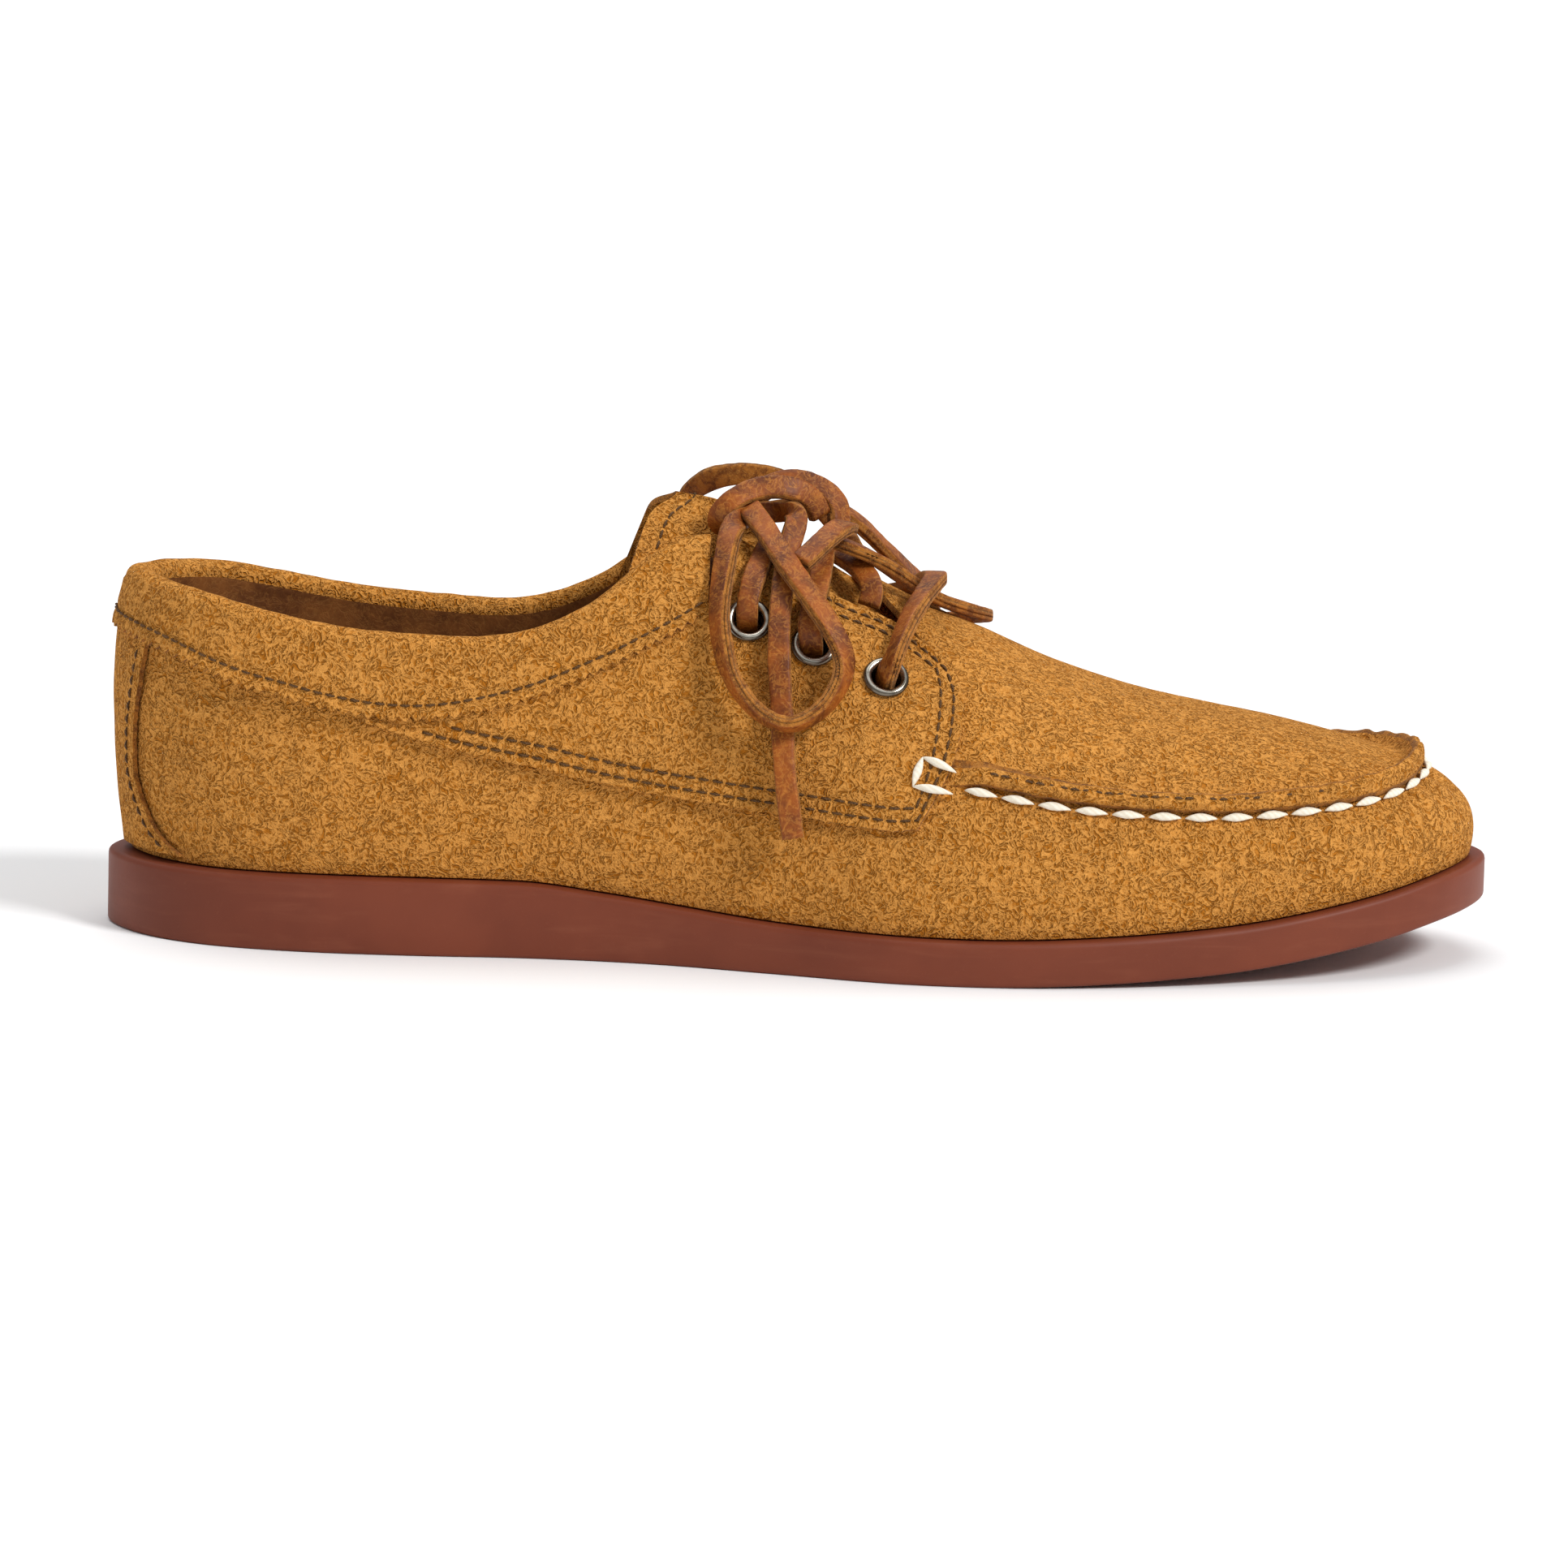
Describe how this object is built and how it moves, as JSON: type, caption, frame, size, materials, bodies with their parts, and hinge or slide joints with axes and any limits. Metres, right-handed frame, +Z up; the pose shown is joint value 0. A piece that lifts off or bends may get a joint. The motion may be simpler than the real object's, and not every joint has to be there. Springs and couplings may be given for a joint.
{
  "type": "moccasin",
  "caption": "Low lace-up camp moccasin for the right foot: suede upper with a hand-sewn apron, rawhide lace tied in a bow, padded collar and flat rubber sole.",
  "frame": {"origin": "on the floor under the middle of the outsole", "axes": "+X to the toe, +Z up, the lateral (outer) side of the right shoe faces -Y"},
  "size_m": [0.3, 0.1074, 0.102],
  "materials": {
    "brick_rubber": "satin moulded",
    "insole_board": "raw board",
    "footbed_foam": "open-cell foam",
    "lining_leather": "smooth, matt",
    "tan_suede": "napped suede",
    "counter_board": "raw fibreboard",
    "collar_foam": "foam",
    "antique_nickel": "antiqued",
    "brown_thread": "waxed thread",
    "cream_thread": "waxed thread",
    "rawhide": "oiled, cut edges raw"
  },
  "bodies": {
    "shoe": {"outsole": "brick_rubber", "insole_board": "insole_board", "footbed": "footbed_foam", "sock_liner": "lining_leather", "moccasin_tub": "tan_suede", "toe_plug": "tan_suede", "heel_stay": "tan_suede", "heel_counter": "counter_board", "quarter_lining": "lining_leather", "collar_band": "tan_suede", "collar_foam": "collar_foam", "quarter_lateral": "tan_suede", "quarter_medial": "tan_suede", "eyelet_lateral_front": "antique_nickel", "eyelet_lateral_middle": "antique_nickel", "eyelet_lateral_rear": "antique_nickel", "eyelet_medial_front": "antique_nickel", "eyelet_medial_middle": "antique_nickel", "eyelet_medial_rear": "antique_nickel", "quarter_thread_lateral": "brown_thread", "quarter_thread_medial": "brown_thread", "collar_thread": "brown_thread", "heel_stay_thread": "brown_thread", "plug_thread": "brown_thread", "hand_stitches": "cream_thread", "lace_crossings": "rawhide", "lace_knot": "rawhide", "lace_bow_lateral": "rawhide", "lace_bow_medial": "rawhide"},
    "tongue": {"tongue": "tan_suede", "tongue_thread": "brown_thread"}
  },
  "joints": [
    {"name": "tongue_hinge", "type": "hinge", "parent": "shoe", "child": "tongue", "pos_m": [0.03, 0, 0.064], "axis": [0, -1, 0], "range_deg": [0, 12]}
  ]
}
